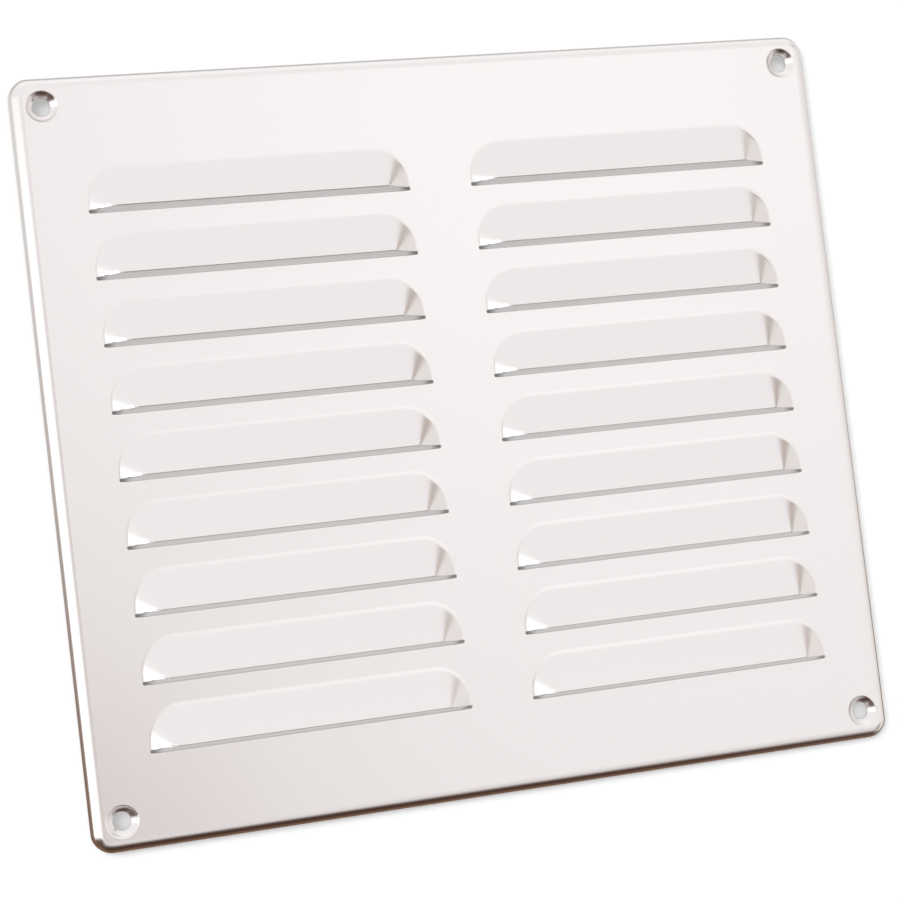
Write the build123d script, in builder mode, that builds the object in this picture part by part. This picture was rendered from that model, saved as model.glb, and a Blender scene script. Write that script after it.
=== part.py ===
from build123d import *
import math
import os

# A wall ventilator pressed from one sheet of metal: a shallow tray with hooded louvres in its face.
# The back rim lies on the wall plane Y = 0 and the hoods stand out towards -Y. Sizes are in millimetres.

# Tray
PLATE_WIDTH = 257.0
PLATE_HEIGHT = 229.0
PLATE_DEPTH = 6.0            # wall to front face
SHEET = 1.0                  # thickness of the sheet
CORNER_RADIUS = 6.0          # corners of the outline
EDGE_RADIUS = 3.6            # outside of the bend between the face and the return flange

# Louvre field
LOUVRE_COLUMNS = 2
LOUVRE_ROWS = 9
LOUVRE_PITCH = 20.0          # one cut to the next
SIDE_MARGIN = 19.75          # side of the tray to the nearest cut
COLUMN_GAP = 20.5            # plain strip between the columns
FIELD_DROP = 0.6             # middle of the field below the middle of the face

# Hood over each cut
HOOD_RUN = 13.0              # bend line to cut, along the face
HOOD_RISE = 4.0              # lip above the face
HOOD_END = 7.4               # end of the cut to the end of the straight lip
HOOD_CORNER = 10.0           # rounding of the hood's upper corners
HOOD_BEND = 1.2              # hollow of the bend where a hood leaves the face
LIP_SETBACK = 1.3            # lip drawn back from the cut as the hood was raised
SLOT_WIDTH = 0.9             # slot along the cut, open below the hood's ends

# Dished screw holes in the corners
HOLE_INSET = 9.0             # side of the tray to hole centre
HOLE_RADIUS = 2.5
DISH_RADIUS = 4.75           # rim of the dish
DISH_DEPTH = 2.0             # face to the edge of the hole
DISH_EDGE = 0.8              # rounding of the dish's rim

HOLE_SPACING_X = PLATE_WIDTH - 2 * HOLE_INSET
HOLE_SPACING_Z = PLATE_HEIGHT - 2 * HOLE_INSET
COLUMN_PITCH = (PLATE_WIDTH - 2 * SIDE_MARGIN + COLUMN_GAP) / LOUVRE_COLUMNS
LOUVRE_LENGTH = COLUMN_PITCH - COLUMN_GAP
FACE_SLOPE = math.atan2(HOOD_RISE, HOOD_RUN - LIP_SETBACK)
END_SLOPE = math.atan2(HOOD_RISE, HOOD_END)
DISH_SLOPE = math.atan2(DISH_DEPTH, DISH_RADIUS - HOLE_RADIUS)

# Cone in the upper corners of a hood. It touches the face and the end facet along two rays from its tip,
# which are written per millimetre of drop.
TIP_HEIGHT = HOOD_RUN * math.tan(FACE_SLOPE)
FACE_NORMAL = Vector(0, math.sin(FACE_SLOPE), math.cos(FACE_SLOPE))
END_NORMAL = Vector(math.sin(END_SLOPE), 0, math.cos(END_SLOPE))
FACE_RAY = Vector(1 / math.tan(END_SLOPE) - HOOD_CORNER / TIP_HEIGHT, 1 / math.tan(FACE_SLOPE), -1)
CONE_ANGLE = math.atan2(-FACE_RAY.normalized().dot(END_NORMAL), 1 - FACE_NORMAL.dot(END_NORMAL))
CONE_AXIS = FACE_RAY.normalized() * math.cos(CONE_ANGLE) - FACE_NORMAL * math.sin(CONE_ANGLE)
END_RAY = CONE_AXIS + END_NORMAL * math.sin(CONE_ANGLE)
END_RAY = END_RAY * (-1 / END_RAY.Z)

FACE = Plane.XZ.offset(PLATE_DEPTH)
FIELD = Plane((0, -PLATE_DEPTH, -HOOD_RUN / 2 - FIELD_DROP), x_dir=(1, 0, 0), z_dir=(0, -1, 0))
MOUTH = Plane((0, 0, 0), x_dir=(1, 0, 0), z_dir=(0, HOOD_RISE, -LIP_SETBACK))

os.makedirs("parts", exist_ok=True)


def hood_body(skin):
    """Solid below a hood's outside, with no skin, or below its inside, with the sheet as skin.

    A hood has a flat sloping face and a flat facet at each end. Between them the sheet bends round
    a cone that has its tip at the end of the lip and touches both flats.
    """
    top = TIP_HEIGHT - skin / math.cos(FACE_SLOPE)
    height = top + skin
    lip_half = LOUVRE_LENGTH / 2 - (top + skin / math.cos(END_SLOPE)) / math.tan(END_SLOPE)
    tip = Vector(lip_half, 0, top)
    face_foot = tip + FACE_RAY * height
    end_foot = tip + END_RAY * height
    floor = Plane.XY.offset(-skin)
    cone_height = 2 * HOOD_RUN
    with BuildPart() as corner:
        with Locations(Plane(tip, x_dir=(-1, -1, 0), z_dir=-CONE_AXIS)):
            Cone(
                cone_height * math.tan(CONE_ANGLE),
                0,
                cone_height,
                align=(Align.CENTER, Align.CENTER, Align.MAX),
            )
        with BuildSketch(floor):
            face_side = tip + FACE_RAY * height * 2
            end_side = tip + END_RAY * height * 2
            Polygon((lip_half, 0), (face_side.X, face_side.Y), (end_side.X, end_side.Y), align=None)
        extrude(amount=height, mode=Mode.INTERSECT)
    with BuildPart() as hood:
        with BuildSketch(Plane.YZ):
            Polygon((0, -skin), (face_foot.Y, -skin), (0, top), align=None)
        extrude(amount=lip_half, both=True)
        with BuildSketch(floor):
            with BuildLine():
                Polyline((0, 0), (lip_half, 0), (face_foot.X, face_foot.Y), (0, face_foot.Y))
                mirror(about=Plane.YZ)
            make_face()
        extrude(amount=height, mode=Mode.INTERSECT)
        add(corner.part)
        with BuildSketch(floor) as facet_foot:
            Polygon((lip_half, 0), (end_foot.X, 0), (end_foot.X, end_foot.Y), align=None)
        loft([facet_foot.sketch.face(), Vertex(tip)])
        mirror(about=Plane.YZ)
    return hood.part


def bend_edges():
    """Edges round the foot of every hood on the front of the face, apart from its cut."""
    face = louvre_plate.faces().filter_by(Plane.XZ).sort_by(SortBy.AREA)[-2:].sort_by(Axis.Y)[0]
    return [edge for outline in face.inner_wires() for edge in outline.edges().sort_by(Axis.Z)[1:]]


# Outside of one hood, with its lip drawn back from the cut
with BuildPart() as hood_outside:
    add(hood_body(0))
    split(bisect_by=MOUTH)

with BuildPart() as louvre_plate:
    # Tray with rounded edges, hollow from the back
    with BuildSketch(Plane.XZ):
        RectangleRounded(PLATE_WIDTH, PLATE_HEIGHT, CORNER_RADIUS)
    extrude(amount=PLATE_DEPTH)
    fillet(louvre_plate.faces().sort_by(Axis.Y)[0].edges(), EDGE_RADIUS)
    offset(amount=-SHEET, openings=louvre_plate.faces().sort_by(Axis.Y)[-1])

    # Hoods, bent out of the face
    with Locations(FIELD):
        with GridLocations(COLUMN_PITCH, LOUVRE_PITCH, LOUVRE_COLUMNS, LOUVRE_ROWS) as louvres:
            add(hood_outside.part)
    fillet(bend_edges(), HOOD_BEND)
    with Locations(louvres.locations):
        add(hood_body(SHEET), mode=Mode.SUBTRACT)

    # Slot under each hood
    with BuildSketch(FIELD):
        with GridLocations(COLUMN_PITCH, LOUVRE_PITCH, LOUVRE_COLUMNS, LOUVRE_ROWS):
            with Locations((0, SLOT_WIDTH / 2)):
                Rectangle(LOUVRE_LENGTH + SLOT_WIDTH, SLOT_WIDTH)
    extrude(amount=HOOD_RISE, both=True, mode=Mode.SUBTRACT)

    # Dished screw holes
    dish_wall = SHEET * math.tan(DISH_SLOPE / 2)
    with Locations(FACE.offset(-SHEET)):
        with GridLocations(HOLE_SPACING_X, HOLE_SPACING_Z, 2, 2):
            Cone(
                HOLE_RADIUS + dish_wall,
                DISH_RADIUS + dish_wall,
                DISH_DEPTH,
                align=(Align.CENTER, Align.CENTER, Align.MAX),
            )
    with Locations(FACE):
        with GridLocations(HOLE_SPACING_X, HOLE_SPACING_Z, 2, 2):
            CounterSinkHole(
                HOLE_RADIUS,
                DISH_RADIUS,
                counter_sink_angle=180 - 2 * math.degrees(DISH_SLOPE),
            )
    rims = louvre_plate.edges().filter_by(GeomType.CIRCLE).filter_by(lambda edge: edge.is_closed)
    fillet(rims.group_by(Axis.Y)[0], DISH_EDGE)

louvre_plate.part.label = "louvre_plate"
export_step(louvre_plate.part, "parts/louvre_plate.step")
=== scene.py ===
import math

import bmesh
import bpy
from mathutils import Matrix, Vector
from mathutils.geometry import delaunay_2d_cdt


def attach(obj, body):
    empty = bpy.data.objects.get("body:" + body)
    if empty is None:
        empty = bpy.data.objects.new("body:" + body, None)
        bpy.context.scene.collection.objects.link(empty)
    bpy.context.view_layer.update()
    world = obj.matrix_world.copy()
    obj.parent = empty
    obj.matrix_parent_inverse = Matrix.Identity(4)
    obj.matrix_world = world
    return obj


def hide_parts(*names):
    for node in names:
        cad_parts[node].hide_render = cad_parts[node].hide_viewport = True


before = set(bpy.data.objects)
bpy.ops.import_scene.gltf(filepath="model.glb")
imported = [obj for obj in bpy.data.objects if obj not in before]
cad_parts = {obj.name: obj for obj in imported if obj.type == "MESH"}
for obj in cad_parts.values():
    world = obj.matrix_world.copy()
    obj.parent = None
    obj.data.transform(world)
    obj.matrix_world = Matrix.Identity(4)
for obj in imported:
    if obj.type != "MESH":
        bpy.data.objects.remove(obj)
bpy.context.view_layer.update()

# Camera, solved from the louvre corners of the photo in its 900 x 900 frame
CAMERA_PLACE = Vector((-0.2129, -0.6849, -0.0374))
CAMERA_TURN = Vector((-0.058523, -0.291261, -0.112596))  # rotation vector from the upright view along +Y
LENS_PX = 2314.7
FRAME_PX = 900
SENSOR = 36
CLIP_START = 0.05

# Sizes of the sheet, as in the CAD source
MM = 0.001
PLATE_WIDTH = 257 * MM
PLATE_HEIGHT = 229 * MM
PLATE_DEPTH = 6 * MM
SHEET = 1 * MM
CORNER_RADIUS = 6 * MM
EDGE_RADIUS = 3.6 * MM
LOUVRE_COLUMNS = 2
LOUVRE_ROWS = 9
LOUVRE_PITCH = 20 * MM
SIDE_MARGIN = 19.75 * MM
COLUMN_GAP = 20.5 * MM
FIELD_DROP = 0.6 * MM
HOOD_RUN = 13 * MM
HOOD_RISE = 4 * MM
HOOD_END = 7.4 * MM
HOOD_CORNER = 10 * MM
LIP_SETBACK = 1.3 * MM
SLOT_WIDTH = 0.9 * MM
HOLE_INSET = 9 * MM
HOLE_RADIUS = 2.5 * MM
DISH_RADIUS = 4.75 * MM

# Soft bends and cut edges, which only the fine sheet has
CUT_EDGE = 0.2 * MM          # rounding of a sheared edge
SLOT_CORNER = 0.4 * MM       # lower corners of the slot
LIP_CORNER = 4 * MM          # rounding of the lip's ends, seen from the front of the mouth
LINE_BEND = 6 * MM           # radius of the bend along the hood's upper line
END_BEND = 1.6 * MM          # radius of the bend at the hood's ends
DISH_RIM = 0.7 * MM          # rounding of a dish's rim
DISH_STEEP = math.radians(50)  # slope of the bowl at its rim
HOLE_EDGE = 0.4 * MM         # drawn-in edge of the hole

# Steps of the fine mesh
FACET_STEPS = 5              # flat facet beside the mouth
CORNER_STEPS = 16            # rounded corner of a hood
FACE_STEPS = 8               # half of a hood's flat face
BEND_STEPS = 4               # bend at a hood's foot
FACE_STOPS = (0.3, 0.65)     # places between that bend and the free edge
SLOT_CORNER_STEPS = 4        # lower corner of a slot
SLOT_STEPS = 20              # half of a slot's lower edge
RIM_STEPS = 5                # rim of a dish
BOWL_STEPS = 8               # bowl of a dish
HOLE_STEPS = 5               # edge of its hole
DISH_SIDES = 48              # round a dish
EDGE_STEPS = 10              # outside of the tray's edge bend
INSIDE_STEPS = 6             # inside of that bend
OUTLINE_STEPS = 12           # corner of the tray's outline
OVER_EDGE = (0, math.pi / 4, math.pi / 2)  # turns over each arris of a sheared edge

# Limits of the fine mesh
BEND_SHARE = 0.6             # most of a short line that its bend takes
EDGE_SHARE = 0.3             # most of a short line that its cut edge takes
EDGE_PROBE = 0.02            # last share of a line, which gives its direction at the free edge
NOTHING = 1e-9               # lengths below this have no direction
FILL_NEAR = 1e-6             # points closer than this, in millimetres, are one in the flats
WELD = 0.002 * MM            # points closer than this are one in the sheet
SLIVER = 0.001 * MM          # edges shorter than this are dissolved
SHARP = math.radians(60)     # faces that meet at more than this aren't shaded as one
FLAT = 0.0005 * MM           # what lies this near the plane of the face is flat

# Derived sizes
COLUMN_PITCH = (PLATE_WIDTH - 2 * SIDE_MARGIN + COLUMN_GAP) / LOUVRE_COLUMNS
HALF = (COLUMN_PITCH - COLUMN_GAP) / 2
FACE_SLOPE = math.atan2(HOOD_RISE, HOOD_RUN - LIP_SETBACK)
END_SLOPE = math.atan2(HOOD_RISE, HOOD_END)
LIP_END = HALF - HOOD_END
LIP_TANGENT = LIP_CORNER * math.tan(END_SLOPE / 2)

# Satin aluminium
METAL_COLOUR = (0.91, 0.90, 0.893, 1)
GRAIN_SCALE = 2600           # fine grain, about 0.4 mm
GRAIN_DETAIL = 2.0
GRAIN_DEPTH = 0.000015
GRAIN_ROUGHNESS = (0.16, 0.26)
WAVE_SCALE = 22              # slow unevenness of the sheet
WAVE_DETAIL = 1.0
WAVE_DEPTH = 0.0001

# Stage
ROOM_SIZE = 1.2
WALL_DEPTH = 0.3 * MM
WALL_TONE = 0.655
FLOOR_TONE = 0.8
# Panel behind the slots: grey paper with a glow, which is painted light and shade seen through the mouths of
# the louvres.
SLOT_PANEL = (112 * MM, 98 * MM, 0.1 * MM)   # half width, half height and depth
SLOT_PANEL_TONE = 0.4
SLOT_GLOW = 0.38
SLOT_TINT = (1, 0.965, 0.955)
# Panel behind the holes: its glow is painted light, seen through the holes.
HOLE_PANEL = (125 * MM, 111 * MM, 0.2 * MM)
HOLE_PANEL_TONE = 0.3
HOLE_GLOW = 0.36
PAPER_ROUGHNESS = 0.9
# The slot panel's glow fades towards the ends of the slots, which is painted shade there.
END_GLOW = 0.2               # share of the glow that is left at the ends of the slots
END_SHIFT = 1.8 * MM         # the camera stands to the left, so it sees the panel this far to the right
INNER_FADE = (10.5 * MM, 14 * MM)
OUTER_FADE = (109.5 * MM, 106 * MM)

# Key light
KEY_POWER = 3.1
KEY_SPREAD = math.radians(35)
KEY_WAY = Vector((0.5, 0.85, -0.22))

# Surroundings that the metal reflects: colours and directions of their patches
PALE_ROOM = (0.94, 0.91, 0.91)
SOFT_BOX = (1.125, 1.085, 1.087)
SOFT_BOX_WAY = (0.337, -0.921, 0.192)
SOFT_BOX_POWER = 62
WINDOW = (1.6, 1.58, 1.56)
RIGHT_WALL = (0.84, 0.8, 0.775)
RIGHT_WALL_WAY = (0.84, -0.33, 0.43)
LOW_SHADE = (0.47, 0.38, 0.36)
LOW_SHADE_WAY = (0.02, -0.985, -0.19)
LOW_ROOM = (0.72, 0.68, 0.67)
DARK_GROUND = (0.07, 0.035, 0.025)
DARK_SIDE = (0.12, 0.07, 0.055)
RIGHT_STRIP = (0.84, 0.79, 0.77)
BROWN_SPOT = (0.42, 0.32, 0.28)
BROWN_SPOT_WAY = (0.73, -0.49, 0.47)
VIEWER = (0.7, 0.64, 0.62)
CEILING = (1.04, 1.01, 1.01)
BEHIND_LOW = (0.2, 0.115, 0.075)
BEHIND_MIDDLE = (0.75, 0.73, 0.72)
BEHIND_HIGH = (0.55, 0.52, 0.51)
BACKGROUND = (0.93, 0.93, 0.93)
FILL_LIGHT = (0.8, 0.8, 0.8)


def add_camera():
    """Camera at the photo's angle."""
    turn = Matrix.Rotation(CAMERA_TURN.length, 3, CAMERA_TURN.normalized())
    upright = Matrix(((1, 0, 0), (0, 0, -1), (0, 1, 0)))
    right, down, ahead = turn @ upright
    cam = bpy.data.objects.new("camera", bpy.data.cameras.new("camera"))
    bpy.context.scene.collection.objects.link(cam)
    axes = Matrix((right, -down, -ahead)).transposed().to_4x4()
    cam.matrix_world = Matrix.Translation(CAMERA_PLACE) @ axes
    cam.data.sensor_width = SENSOR
    cam.data.lens = SENSOR * LENS_PX / FRAME_PX
    cam.data.clip_start = CLIP_START
    bpy.context.scene.camera = cam


def steps(count):
    """Even shares from 0 to 1."""
    return [i / count for i in range(count + 1)]


def corner_outline():
    """Foot of a hood's rounded corner, from its end side to its bend line.

    This is where the cone of the CAD source meets the face.
    """
    tip_height = HOOD_RUN * math.tan(FACE_SLOPE)
    tip = Vector((HALF - tip_height / math.tan(END_SLOPE), 0, tip_height))
    face_normal = Vector((0, math.sin(FACE_SLOPE), math.cos(FACE_SLOPE)))
    end_normal = Vector((math.sin(END_SLOPE), 0, math.cos(END_SLOPE)))
    face_ray = (Vector((HALF - HOOD_CORNER, HOOD_RUN, 0)) - tip).normalized()
    angle = math.atan2(-face_ray.dot(end_normal), 1 - face_normal.dot(end_normal))
    axis = face_ray * math.cos(angle) - face_normal * math.sin(angle)
    end_ray = (axis + end_normal * math.sin(angle)).normalized()
    end_aside, face_aside = [(ray - axis * math.cos(angle)) / math.sin(angle) for ray in (end_ray, face_ray)]
    feet = []
    for share in steps(CORNER_STEPS):
        ray = axis * math.cos(angle) + end_aside.slerp(face_aside, share) * math.sin(angle)
        foot = tip + ray * (tip.z / -ray.z)
        feet.append(foot.xy)
    return feet


def half_hood_stations():
    """Stations round one half of a hood, from the end of the cut to the middle of the hood.

    Each is a line across the sheet from the flat face to the hood's free edge, given as its foot,
    the direction outward from it, the slope, the radius of the bend and the mouth point.
    """
    corner = corner_outline()
    return facet_stations(corner[0]) + corner_stations(corner) + face_stations(corner[-1])


def facet_stations(corner_start):
    """Flat facet beside the mouth, as far as the lip's rounded end."""
    reach = END_BEND * math.tan(END_SLOPE / 2)
    round_start = LIP_END + LIP_TANGENT * math.cos(END_SLOPE)
    stations = []
    for share in steps(FACET_STEPS)[:-1]:
        inward = -reach + share * (HALF - round_start + reach)
        height = rise(inward, END_SLOPE, END_BEND)
        foot = Vector((HALF, SLOT_WIDTH + (corner_start.y - SLOT_WIDTH) * share))
        mouth = Vector((HALF - inward, setback(height), height))
        stations.append((foot, Vector((1, 0)), END_SLOPE, END_BEND, mouth))
    return stations


def corner_stations(corner):
    """Rounded corner between the facet and the face."""
    stations = []
    for i, share in enumerate(steps(CORNER_STEPS)):
        turn = END_SLOPE * (1 - share)
        height = HOOD_RISE - LIP_CORNER * (1 - math.cos(turn))
        mouth = Vector((LIP_END - LIP_TANGENT + LIP_CORNER * math.sin(turn), setback(height), height))
        along = corner[min(i + 1, CORNER_STEPS)] - corner[max(i - 1, 0)]
        outward = Vector((along.y, -along.x)).normalized()
        if i == 0:
            outward = Vector((1, 0))
        if i == CORNER_STEPS:
            outward = Vector((0, 1))
        inward = (corner[i] - mouth.xy).dot(outward)
        bend = END_BEND + (LINE_BEND - END_BEND) * share
        stations.append((corner[i], outward, math.atan2(height, inward), bend, mouth))
    return stations


def face_stations(corner_end):
    """Flat face, to the middle of the hood."""
    stations = []
    for share in steps(FACE_STEPS)[1:]:
        foot = Vector((corner_end.x * (1 - share), HOOD_RUN))
        mouth = Vector(((LIP_END - LIP_TANGENT) * (1 - share), LIP_SETBACK, HOOD_RISE))
        stations.append((foot, Vector((0, 1)), FACE_SLOPE, LINE_BEND, mouth))
    return stations


def setback(height):
    """Free edge of a hood above the cut: the slot's width at its ends, drawn back further at the lip."""
    return SLOT_WIDTH + (LIP_SETBACK - SLOT_WIDTH) * (height / HOOD_RISE) ** 2


def rise(inward, slope, bend):
    """Height of a hood at a distance inside its foot, with the soft bend there."""
    reach = bend * math.tan(slope / 2)
    if inward <= -reach:
        return 0.0
    if inward < reach * math.cos(slope):
        return bend - math.sqrt(bend**2 - (inward + reach) ** 2)
    return inward * math.tan(slope)


def lean(inward, slope, bend):
    """Slope of the sheet there."""
    reach = bend * math.tan(slope / 2)
    return min(slope, math.asin(max(0.0, min(1.0, (inward + reach) / bend))))


def edge_round(end, along, normal, radius):
    """Points over a sheared edge of the sheet, from its front to its back. along points off the edge."""
    front = end - along * radius - normal * radius
    back = end - along * radius - normal * (SHEET - radius)
    points = [front + (normal * math.cos(turn) + along * math.sin(turn)) * radius for turn in OVER_EDGE]
    points += [back + (along * math.cos(turn) - normal * math.sin(turn)) * radius for turn in OVER_EDGE]
    return points


def station_line(foot, outward, slope, bend, mouth):
    """Points across one station: the front from the face to the free edge, over the edge, and back inside."""
    reach = bend * math.tan(slope / 2)
    inward_end = (foot - mouth.xy).dot(outward)
    start = foot + outward * reach
    span = inward_end + reach
    bend_end = min(reach * math.cos(slope), -reach + BEND_SHARE * span)

    def at(inward):
        """Point on the front of the sheet and its normal."""
        share = (inward + reach) / span if span > NOTHING else 0.0
        place = start + (mouth.xy - start) * share
        turn = lean(inward, slope, bend)
        normal = Vector((*(outward * math.sin(turn)), math.cos(turn)))
        return Vector((*place, rise(inward, slope, bend))), normal

    stops = [-reach + share * (bend_end + reach) for share in steps(BEND_STEPS)]
    stops += [bend_end + share * (inward_end - bend_end) for share in FACE_STOPS]
    front = [at(stop) for stop in stops]
    end, end_normal = at(inward_end)
    along = end - at(inward_end - EDGE_PROBE * span)[0]
    along -= end_normal * along.dot(end_normal)
    along = along.normalized() if along.length > NOTHING else Vector((0, -1, 0))
    line = [point for point, _ in front]
    line += edge_round(end, along, end_normal, min(CUT_EDGE, EDGE_SHARE * span))
    line += [point - normal * SHEET for point, normal in reversed(front)]
    return line


def other_half(lines):
    """The lines of a right half as its left half, from the middle on and without the middle line."""
    return [[Vector((-p.x, p.y, p.z)) for p in line] for line in lines[-2::-1]]


class Sheet:
    """The sheet's mesh, gathered patch by patch. Points are (across, up, out) from the middle of the face."""

    def __init__(self):
        self.points = []
        self.faces = []
        self.loops = []

    def patch(self, lines, closed=False):
        """Quads between lines of equal length."""
        first = len(self.points)
        width = len(lines[0])
        for line in lines:
            self.points += [tuple(point) for point in line]
        for i in range(len(lines) if closed else len(lines) - 1):
            a = first + i * width
            b = first + (i + 1) % len(lines) * width
            self.faces += [(a + j, a + j + 1, b + j + 1, b + j) for j in range(width - 1)]

    def fill(self):
        """The flat of the sheet between the loops, front and back.

        The first loop is the outside. A triangle with all its points on one other loop counts as part of
        an opening and is left out. Beside the ends of the hoods, where a loop is slightly hollow, that
        also leaves out slivers of the flat, which stay open.
        """
        flat = []
        owner = []
        edges = []
        for number, loop in enumerate(self.loops):
            first = len(flat)
            flat += [Vector((point[0], point[1])) / MM for point in loop]
            owner += [number] * len(loop)
            edges += [(first + i, first + (i + 1) % len(loop)) for i in range(len(loop))]
        places, _, triangles, sources, *_ = delaunay_2d_cdt(flat, edges, [], 0, FILL_NEAR)
        origin = [owner[source[0]] for source in sources]
        for out in (0, -SHEET):
            first = len(self.points)
            self.points += [(place.x * MM, place.y * MM, out) for place in places]
            for triangle in triangles:
                held_by = {origin[i] for i in triangle}
                if len(held_by) > 1 or 0 in held_by:
                    self.faces.append(tuple(first + i for i in triangle))


def add_hood(sheet, x, z):
    """One louvre: the hood above its cut and the cut edge of the face below it."""
    middle = Vector((x, z, 0))
    right = [station_line(*station) for station in half_hood_stations()]
    hood = [[p + middle for p in line] for line in right + other_half(right)]
    cut = [[p + middle for p in line] for line in slot_lines(right[0][0].x)]
    sheet.patch(hood)
    sheet.patch(cut)
    sheet.loops.append([line[0] for line in hood] + [line[0] for line in cut[-2:0:-1]])


def slot_lines(tip):
    """Cut edge of the face from the right end of a slot to its left end, over the edge at each place."""
    path = [(Vector((tip, SLOT_WIDTH, 0)), math.pi, 0.0)]
    centre = Vector((tip - SLOT_CORNER, SLOT_CORNER, 0))
    for share in steps(SLOT_CORNER_STEPS):
        turn = math.pi / 2 * share
        aside = Vector((math.cos(turn), -math.sin(turn), 0))
        path.append((centre + aside * SLOT_CORNER, math.pi - turn, CUT_EDGE * math.sin(turn) ** 2))
    for share in steps(SLOT_STEPS)[1:]:
        across = (tip - SLOT_CORNER) * math.cos(math.pi * share / 2)
        path.append((Vector((across, 0, 0)), math.pi / 2, CUT_EDGE))
    lines = []
    for place, turn, radius in path:
        along = Vector((math.cos(turn), math.sin(turn), 0))
        lines.append(edge_round(place, along, Vector((0, 0, 1)), radius))
    return lines + other_half(lines)


def dish_front():
    """Front of a dished hole from the flat inward, as (radius, depth, slope): rim, bowl and hole."""
    reach = DISH_RIM * math.tan(DISH_STEEP / 2)
    section = []
    for share in steps(RIM_STEPS):
        slope = DISH_STEEP * share
        radius = DISH_RADIUS + reach - DISH_RIM * math.sin(slope)
        section.append((radius, DISH_RIM * (1 - math.cos(slope)), slope))

    bowl = DISH_RADIUS / math.sin(DISH_STEEP)
    bowl_radius, bowl_depth, _ = section[-1]
    bowl_slope = math.asin(bowl_radius / bowl)
    hole_slope = math.asin((HOLE_RADIUS + HOLE_EDGE) / bowl)
    for share in steps(BOWL_STEPS)[1:]:
        slope = bowl_slope + (hole_slope - bowl_slope) * share
        depth = bowl_depth + bowl * (math.cos(slope) - math.cos(bowl_slope))
        section.append((bowl * math.sin(slope), depth, slope))

    hole_radius, hole_depth, _ = section[-1]
    for share in steps(HOLE_STEPS)[1:]:
        slope = hole_slope + (math.pi / 2 - hole_slope) * share
        radius = hole_radius - HOLE_EDGE * (math.sin(slope) - math.sin(hole_slope))
        depth = hole_depth + HOLE_EDGE * (math.cos(hole_slope) - math.cos(slope))
        section.append((radius, depth, slope))
    return section


def dish_profile():
    """Section of a dished hole from the flat inward and back out, as (radius, depth)."""
    section = dish_front()
    start = section[0][0] + CUT_EDGE
    front = [(radius, depth) for radius, depth, _ in section]
    back = []
    for radius, depth, slope in section[:RIM_STEPS + BOWL_STEPS]:
        back.append((radius + SHEET * math.sin(slope), depth + SHEET * math.cos(slope)))
    hole_end = (front[-1][0], back[-1][1])
    return [(start, 0), *front, hole_end, *reversed(back), (start, SHEET)]


def add_dish(sheet, x, z):
    """One dished screw hole, swept round its axis."""
    profile = dish_profile()
    lines = []
    for i in range(DISH_SIDES):
        turn = math.tau * i / DISH_SIDES
        aside = Vector((math.cos(turn), math.sin(turn), 0))
        lines.append([Vector((x, z, -depth)) + aside * radius for radius, depth in profile])
    sheet.patch(lines, closed=True)
    sheet.loops.append([line[0] for line in lines])


def edge_profile():
    """Section of the rounded edge and return flange from the flat outward and back in, as (out, depth)."""
    profile = []
    for share in steps(EDGE_STEPS):
        turn = math.pi / 2 * share
        profile.append((EDGE_RADIUS * math.sin(turn), EDGE_RADIUS * (1 - math.cos(turn))))
    end = Vector((EDGE_RADIUS, PLATE_DEPTH))
    profile += [(p.x, p.y) for p in edge_round(end, Vector((0, 1)), Vector((1, 0)), CUT_EDGE)]
    inside = EDGE_RADIUS - SHEET
    for share in reversed(steps(INSIDE_STEPS)):
        turn = math.pi / 2 * share
        profile.append((inside * math.sin(turn), EDGE_RADIUS - inside * math.cos(turn)))
    return profile


def add_edge(sheet):
    """The rounded edge and return flange, swept round the outline."""
    profile = edge_profile()
    inner = CORNER_RADIUS - EDGE_RADIUS
    corner_x = PLATE_WIDTH / 2 - CORNER_RADIUS
    corner_z = PLATE_HEIGHT / 2 - CORNER_RADIUS
    lines = []
    for quarter, (sign_x, sign_z) in enumerate(((1, 1), (-1, 1), (-1, -1), (1, -1))):
        centre = Vector((sign_x * corner_x, sign_z * corner_z, 0))
        for share in steps(OUTLINE_STEPS):
            turn = math.pi / 2 * (quarter + share)
            aside = Vector((math.cos(turn), math.sin(turn), 0))
            lines.append([centre + aside * (inner + out) - Vector((0, 0, depth)) for out, depth in profile])
    sheet.patch(lines, closed=True)
    sheet.loops.append([line[0] for line in lines])


def gather_sheet():
    """Every patch of the pressed sheet. The outline comes first, as Sheet.fill needs it."""
    sheet = Sheet()
    add_edge(sheet)
    field_z = -HOOD_RUN / 2 - FIELD_DROP
    for column in range(LOUVRE_COLUMNS):
        for row in range(LOUVRE_ROWS):
            x = (column - (LOUVRE_COLUMNS - 1) / 2) * COLUMN_PITCH
            z = (row - (LOUVRE_ROWS - 1) / 2) * LOUVRE_PITCH + field_z
            add_hood(sheet, x, z)
    hole_x = PLATE_WIDTH / 2 - HOLE_INSET
    hole_z = PLATE_HEIGHT / 2 - HOLE_INSET
    for sign_x in (-1, 1):
        for sign_z in (-1, 1):
            add_dish(sheet, sign_x * hole_x, sign_z * hole_z)
    sheet.fill()
    return sheet


def lies_flat(face):
    """Whether a face lies in the front or the back of the plain sheet."""
    planes = (-PLATE_DEPTH, SHEET - PLATE_DEPTH)
    return any(all(abs(v.co.y - plane) < FLAT for v in face.verts) for plane in planes)


def join_patches(mesh):
    """Welds the patches into one mesh and sets which faces and edges are shaded smooth."""
    bm = bmesh.new()
    bm.from_mesh(mesh)
    bmesh.ops.remove_doubles(bm, verts=bm.verts, dist=WELD)
    bmesh.ops.dissolve_degenerate(bm, edges=bm.edges, dist=SLIVER)
    bmesh.ops.recalc_face_normals(bm, faces=bm.faces)
    for edge in bm.edges:
        edge.smooth = edge.calc_face_angle(0) < SHARP
    for face in bm.faces:
        face.smooth = not lies_flat(face)
    bm.to_mesh(mesh)
    bm.free()


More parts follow.
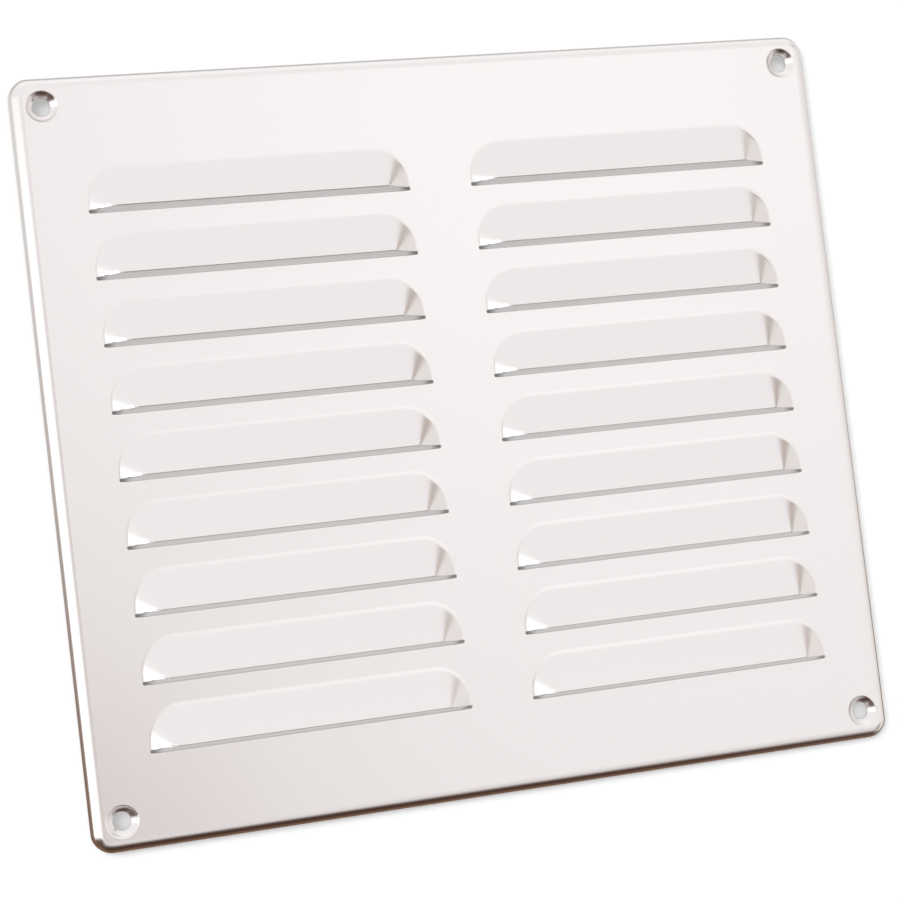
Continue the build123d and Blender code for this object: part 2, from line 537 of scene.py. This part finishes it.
def make_sheet():
    """The whole pressed sheet as one mesh."""
    gathered = gather_sheet()
    mesh = bpy.data.meshes.new("pressed_sheet")
    mesh.from_pydata([(x, -PLATE_DEPTH - out, z) for x, z, out in gathered.points], [], gathered.faces)
    join_patches(mesh)
    obj = bpy.data.objects.new("pressed_sheet", mesh)
    bpy.context.scene.collection.objects.link(obj)
    weigh = obj.modifiers.new("even_flats", "WEIGHTED_NORMAL")
    weigh.keep_sharp = True
    return obj


def node_tree(name):
    """A new material with its nodes and links."""
    material = bpy.data.materials.new(name)
    material.use_nodes = True
    return material, material.node_tree.nodes, material.node_tree.links


def noise(nodes, links, coord, scale, detail):
    """Noise that stays with the object."""
    node = nodes.new("ShaderNodeTexNoise")
    node.inputs["Scale"].default_value = scale
    node.inputs["Detail"].default_value = detail
    links.new(coord.outputs["Object"], node.inputs["Vector"])
    return node.outputs["Fac"]


def satin_aluminium():
    """Satin metal with a fine grain in its roughness and bump, on a slightly uneven sheet."""
    material, nodes, links = node_tree("satin_aluminium")
    shader = nodes["Principled BSDF"]
    shader.inputs["Base Color"].default_value = METAL_COLOUR
    shader.inputs["Metallic"].default_value = 1.0
    coord = nodes.new("ShaderNodeTexCoord")
    grain = noise(nodes, links, coord, GRAIN_SCALE, GRAIN_DETAIL)
    wave = noise(nodes, links, coord, WAVE_SCALE, WAVE_DETAIL)
    matt = nodes.new("ShaderNodeMapRange")
    matt.inputs["To Min"].default_value = GRAIN_ROUGHNESS[0]
    matt.inputs["To Max"].default_value = GRAIN_ROUGHNESS[1]
    links.new(grain, matt.inputs["Value"])
    links.new(matt.outputs[0], shader.inputs["Roughness"])
    fine = nodes.new("ShaderNodeBump")
    fine.inputs["Distance"].default_value = GRAIN_DEPTH
    links.new(grain, fine.inputs["Height"])
    slow = nodes.new("ShaderNodeBump")
    slow.inputs["Distance"].default_value = WAVE_DEPTH
    links.new(wave, slow.inputs["Height"])
    links.new(fine.outputs["Normal"], slow.inputs["Normal"])
    links.new(slow.outputs["Normal"], shader.inputs["Normal"])
    return material


def wall_paper(tone, glow, tint=(1, 1, 1), painted_shade_at_ends=False):
    """Plain paper for the stage, of the given tone. It is clear from behind. Where it glows, the glow is
    painted light, and when asked that glow dims towards the ends of the slots as painted shade.
    """
    material, nodes, links = node_tree("wall")
    shader = nodes["Principled BSDF"]
    shader.inputs["Base Color"].default_value = (tone, tone, tone, 1)
    shader.inputs["Roughness"].default_value = PAPER_ROUGHNESS
    shader.inputs["Specular IOR Level"].default_value = 0.0
    # Any glow here is painted light from a sheet that is no lamp.
    shader.inputs["Emission Color"].default_value = (*tint, 1)
    shader.inputs["Emission Strength"].default_value = glow
    if painted_shade_at_ends:
        # Painted shade: the glow dims towards the ends of the slots.
        links.new(painted_slot_light(nodes, links, glow), shader.inputs["Emission Strength"])
    clear = nodes.new("ShaderNodeBsdfTransparent")
    mix = nodes.new("ShaderNodeMixShader")
    side = nodes.new("ShaderNodeNewGeometry")
    links.new(side.outputs["Backfacing"], mix.inputs[0])
    links.new(shader.outputs[0], mix.inputs[1])
    links.new(clear.outputs[0], mix.inputs[2])
    links.new(mix.outputs[0], nodes["Material Output"].inputs[0])
    return material


def painted_slot_light(nodes, links, glow):
    """Glow of the panel behind the slots. It is painted light that dims towards the slot ends as painted
    shade.
    """
    coord = nodes.new("ShaderNodeTexCoord")
    split = nodes.new("ShaderNodeSeparateXYZ")
    links.new(coord.outputs["Object"], split.inputs[0])
    seen = nodes.new("ShaderNodeMath")
    seen.operation = "SUBTRACT"
    seen.inputs[1].default_value = END_SHIFT
    links.new(split.outputs[0], seen.inputs[0])
    aside = nodes.new("ShaderNodeMath")
    aside.operation = "ABSOLUTE"
    links.new(seen.outputs[0], aside.inputs[0])
    lower = nodes.new("ShaderNodeMath")
    lower.operation = "MINIMUM"
    for socket, (dim, bright) in enumerate((INNER_FADE, OUTER_FADE)):
        fade = nodes.new("ShaderNodeMapRange")
        fade.interpolation_type = "SMOOTHSTEP"
        fade.inputs["From Min"].default_value = dim
        fade.inputs["From Max"].default_value = bright
        fade.inputs["To Min"].default_value = END_GLOW * glow
        fade.inputs["To Max"].default_value = glow
        links.new(aside.outputs[0], fade.inputs["Value"])
        links.new(fade.outputs[0], lower.inputs[socket])
    return lower.outputs[0]


def plain_sheet(name, corners, material):
    """One flat sheet of the stage."""
    mesh = bpy.data.meshes.new(name)
    mesh.from_pydata(corners, [], [(0, 1, 2, 3)])
    obj = bpy.data.objects.new(name, mesh)
    bpy.context.scene.collection.objects.link(obj)
    mesh.materials.append(material)
    return obj


def upright_corners(half_width, half_height, depth):
    """Corners of a sheet that stands parallel to the wall and faces the camera."""
    signs = ((-1, -1), (1, -1), (1, 1), (-1, 1))
    return [(sign_x * half_width, depth, sign_z * half_height) for sign_x, sign_z in signs]


def add_stage():
    """Wall, floor and two glowing panels. Their glow is painted light seen through the slots and the holes,
    with painted shade at the ends of the slots.
    """
    wall = plain_sheet("wall", upright_corners(ROOM_SIZE, ROOM_SIZE, WALL_DEPTH), wall_paper(WALL_TONE, 0.0))
    wall.visible_glossy = False
    # The two panels glow. This is painted light seen through the slots and holes, with painted shade at the
    # slot ends.
    slot_glow_paper = wall_paper(SLOT_PANEL_TONE, SLOT_GLOW, SLOT_TINT, True)
    plain_sheet("glowing_slot_panel", upright_corners(*SLOT_PANEL), slot_glow_paper)
    plain_sheet("glowing_hole_panel", upright_corners(*HOLE_PANEL), wall_paper(HOLE_PANEL_TONE, HOLE_GLOW))
    corners = [
        (-ROOM_SIZE, -2 * ROOM_SIZE, -ROOM_SIZE),
        (ROOM_SIZE, -2 * ROOM_SIZE, -ROOM_SIZE),
        (ROOM_SIZE, 0, -ROOM_SIZE),
        (-ROOM_SIZE, 0, -ROOM_SIZE),
    ]
    floor = plain_sheet("floor", corners, wall_paper(FLOOR_TONE, 0.0))
    floor.visible_glossy = False


def add_key_light():
    """Soft light from the upper left, which gives the shadow on the wall."""
    lamp = bpy.data.lights.new("key", "SUN")
    lamp.energy = KEY_POWER
    lamp.angle = KEY_SPREAD
    key = bpy.data.objects.new("key", lamp)
    bpy.context.scene.collection.objects.link(key)
    key.rotation_euler = KEY_WAY.to_track_quat("-Z", "Y").to_euler()
    key.visible_glossy = False


class Room:
    """Nodes of the surroundings, where each colour goes by direction."""

    def __init__(self, tree):
        self.nodes = tree.nodes
        self.links = tree.links
        coord = self.nodes.new("ShaderNodeTexCoord")
        self.way = coord.outputs["Generated"]
        split = self.nodes.new("ShaderNodeSeparateXYZ")
        self.links.new(self.way, split.inputs[0])
        self.x, self.y, self.z = split.outputs

    def ramp(self, value, low, high):
        """0 at low, 1 at high and smooth between them."""
        node = self.nodes.new("ShaderNodeMapRange")
        node.interpolation_type = "SMOOTHSTEP"
        self.links.new(value, node.inputs["Value"])
        node.inputs["From Min"].default_value = low
        node.inputs["From Max"].default_value = high
        return node.outputs[0]

    def mix(self, factor, a, b):
        """From a to b by the factor. Each may be a plain colour."""
        node = self.nodes.new("ShaderNodeMix")
        node.data_type = "RGBA"
        for socket, value in ((node.inputs[0], factor), (node.inputs[6], a), (node.inputs[7], b)):
            if isinstance(value, tuple):
                socket.default_value = (*value, 1)
            else:
                self.links.new(value, socket)
        return node.outputs[2]

    def all_of(self, first, *others):
        """Product of the factors."""
        product = first
        for other in others:
            node = self.nodes.new("ShaderNodeMath")
            node.operation = "MULTIPLY"
            self.links.new(product, node.inputs[0])
            self.links.new(other, node.inputs[1])
            product = node.outputs[0]
        return product

    def toward(self, way):
        """Cosine of the angle to a direction."""
        node = self.nodes.new("ShaderNodeVectorMath")
        node.operation = "DOT_PRODUCT"
        self.links.new(self.way, node.inputs[0])
        node.inputs[1].default_value = Vector(way).normalized()
        return node.outputs["Value"]

    def near(self, way, edge, core):
        """1 within the core's cosine of a direction, 0 beyond the edge's."""
        return self.ramp(self.toward(way), edge, core)

    def lobe(self, way, sharpness):
        """1 toward a direction, falling off smoothly round it."""
        power = self.nodes.new("ShaderNodeMath")
        power.operation = "POWER"
        power.use_clamp = True
        self.links.new(self.toward(way), power.inputs[0])
        power.inputs[1].default_value = sharpness
        return power.outputs[0]


def front_of_room(room):
    """What stands before the part, patch on patch: a pale room with a soft box and darker things low down."""
    x, y, z = room.x, room.y, room.z
    seen = room.mix(room.lobe(SOFT_BOX_WAY, SOFT_BOX_POWER), PALE_ROOM, SOFT_BOX)

    # A bright window on the left, and the walls
    window = room.all_of(room.ramp(x, -0.4, -0.54), room.ramp(z, 0.19, 0.11), room.ramp(z, -0.3, -0.14))
    seen = room.mix(window, seen, WINDOW)
    seen = room.mix(room.near(RIGHT_WALL_WAY, 0.95, 0.99), seen, RIGHT_WALL)

    # Darker towards the ground
    seen = room.mix(room.near(LOW_SHADE_WAY, 0.977, 0.998), seen, LOW_SHADE)
    seen = room.mix(room.ramp(z, -0.1, -0.7), seen, LOW_ROOM)
    seen = room.mix(room.ramp(z, -0.6, -0.9), seen, DARK_GROUND)
    seen = room.mix(room.all_of(room.ramp(x, 0.5, 0.8), room.ramp(z, -0.25, -0.4)), seen, DARK_SIDE)
    seen = room.mix(room.all_of(room.ramp(x, -0.3, -0.6), room.ramp(z, -0.25, -0.4)), seen, DARK_SIDE)

    # Small things on the right, the viewer, and the ceiling
    strip = room.all_of(room.ramp(y, -0.5, -0.3), room.ramp(x, 0.6, 0.85), room.ramp(z, 0.36, 0.26))
    seen = room.mix(strip, seen, RIGHT_STRIP)
    seen = room.mix(room.near(BROWN_SPOT_WAY, 0.985, 0.998), seen, BROWN_SPOT)
    beside = room.all_of(room.ramp(x, 0.04, -0.06), room.ramp(x, -0.34, -0.2))
    viewer = room.all_of(beside, room.ramp(z, 0.2, 0.08), room.ramp(z, -0.5, -0.35))
    seen = room.mix(viewer, seen, VIEWER)
    return room.mix(room.ramp(z, 0.8, 0.93), seen, CEILING)


def back_of_room(room):
    """What lies behind the part: brown low down, pale at its height and greyer above."""
    seen = room.mix(room.ramp(room.z, -0.13, 0.2), BEHIND_LOW, BEHIND_MIDDLE)
    return room.mix(room.ramp(room.z, 0.3, 0.6), seen, BEHIND_HIGH)


def add_world():
    """Surroundings for the metal. The camera sees a plain background, and the stage gets an even light."""
    world = bpy.data.worlds.new("studio")
    bpy.context.scene.world = world
    world.use_nodes = True
    room = Room(world.node_tree)
    whole = room.mix(room.ramp(room.y, 0.1, 0.5), front_of_room(room), back_of_room(room))
    path = room.nodes.new("ShaderNodeLightPath")
    shown = room.mix(path.outputs["Is Camera Ray"], whole, BACKGROUND)
    shown = room.mix(path.outputs["Is Diffuse Ray"], shown, FILL_LIGHT)
    room.links.new(shown, room.nodes["Background"].inputs[0])


add_camera()
add_world()
add_key_light()
bpy.context.scene.view_settings.view_transform = "Standard"
sheet = make_sheet()
sheet.data.materials.append(satin_aluminium())
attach(sheet, "root")
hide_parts("louvre_plate")
add_stage()
